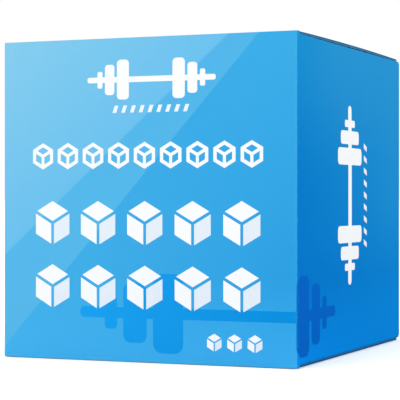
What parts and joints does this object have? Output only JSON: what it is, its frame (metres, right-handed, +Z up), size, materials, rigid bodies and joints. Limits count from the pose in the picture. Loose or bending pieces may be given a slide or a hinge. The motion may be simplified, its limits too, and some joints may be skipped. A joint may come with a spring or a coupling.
{
  "type": "gymnastics chalk block",
  "caption": "Pressed grip chalk block in clear shrink film, packed in a printed straight tuck end carton whose lids, tuck flaps and dust flaps turn on their creases.",
  "frame": {"origin": "centre of the base, on the surface that the carton stands on", "axes": "+Z up, the printed front face towards -Y, +X to the right as the front face is seen, the lid creases at +Y"},
  "size_m": [0.0516, 0.057, 0.0522],
  "materials": {
    "printed_board": "satin",
    "chalk": "matte",
    "clear_film": "gloss",
    "adhesive": "satin"
  },
  "bodies": {
    "sleeve": {"front_wall": "printed_board", "right_wall": "printed_board", "rear_wall": "printed_board", "left_wall": "printed_board", "glue_tab": "printed_board", "seam_glue": "adhesive", "chalk_block": "chalk", "shrink_film": "clear_film"},
    "top_lid": {"top_lid": "printed_board"},
    "top_tuck_flap": {"top_tuck_flap": "printed_board"},
    "top_left_dust_flap": {"top_left_dust_flap": "printed_board"},
    "top_right_dust_flap": {"top_right_dust_flap": "printed_board"},
    "bottom_lid": {"bottom_lid": "printed_board"},
    "bottom_tuck_flap": {"bottom_tuck_flap": "printed_board"},
    "bottom_left_dust_flap": {"bottom_left_dust_flap": "printed_board"},
    "bottom_right_dust_flap": {"bottom_right_dust_flap": "printed_board"}
  },
  "joints": [
    {"name": "top_lid_crease", "type": "hinge", "parent": "sleeve", "child": "top_lid", "pos_m": [0, 0.0283, 0.0518], "axis": [-1, 0, 0], "range_deg": [0, 179.9]},
    {"name": "top_tuck_crease", "type": "hinge", "parent": "top_lid", "child": "top_tuck_flap", "pos_m": [0, -0.02745, 0.0518], "axis": [-1, 0, 0], "range_deg": [0, 45]},
    {"name": "top_left_dust_crease", "type": "hinge", "parent": "sleeve", "child": "top_left_dust_flap", "pos_m": [-0.02555, 0, 0.05134], "axis": [0, -1, 0], "range_deg": [0, 108]},
    {"name": "top_right_dust_crease", "type": "hinge", "parent": "sleeve", "child": "top_right_dust_flap", "pos_m": [0.02555, 0, 0.05134], "axis": [0, 1, 0], "range_deg": [0, 108]},
    {"name": "bottom_lid_crease", "type": "hinge", "parent": "sleeve", "child": "bottom_lid", "pos_m": [0, 0.0283, 0.0002], "axis": [1, 0, 0], "range_deg": [0, 179.9]},
    {"name": "bottom_tuck_crease", "type": "hinge", "parent": "bottom_lid", "child": "bottom_tuck_flap", "pos_m": [0, -0.02745, 0.0002], "axis": [1, 0, 0], "range_deg": [0, 45]},
    {"name": "bottom_left_dust_crease", "type": "hinge", "parent": "sleeve", "child": "bottom_left_dust_flap", "pos_m": [-0.02555, 0, 0.00066], "axis": [0, 1, 0], "range_deg": [0, 108]},
    {"name": "bottom_right_dust_crease", "type": "hinge", "parent": "sleeve", "child": "bottom_right_dust_flap", "pos_m": [0.02555, 0, 0.00066], "axis": [0, -1, 0], "range_deg": [0, 108]}
  ],
  "couplings": [
    {"joint": "top_tuck_crease", "follows": "top_lid_crease", "ratio": 0.25},
    {"joint": "top_left_dust_crease", "follows": "top_lid_crease", "ratio": 0.6},
    {"joint": "top_right_dust_crease", "follows": "top_lid_crease", "ratio": 0.6},
    {"joint": "bottom_tuck_crease", "follows": "bottom_lid_crease", "ratio": 0.25},
    {"joint": "bottom_left_dust_crease", "follows": "bottom_lid_crease", "ratio": 0.6},
    {"joint": "bottom_right_dust_crease", "follows": "bottom_lid_crease", "ratio": 0.6}
  ]
}
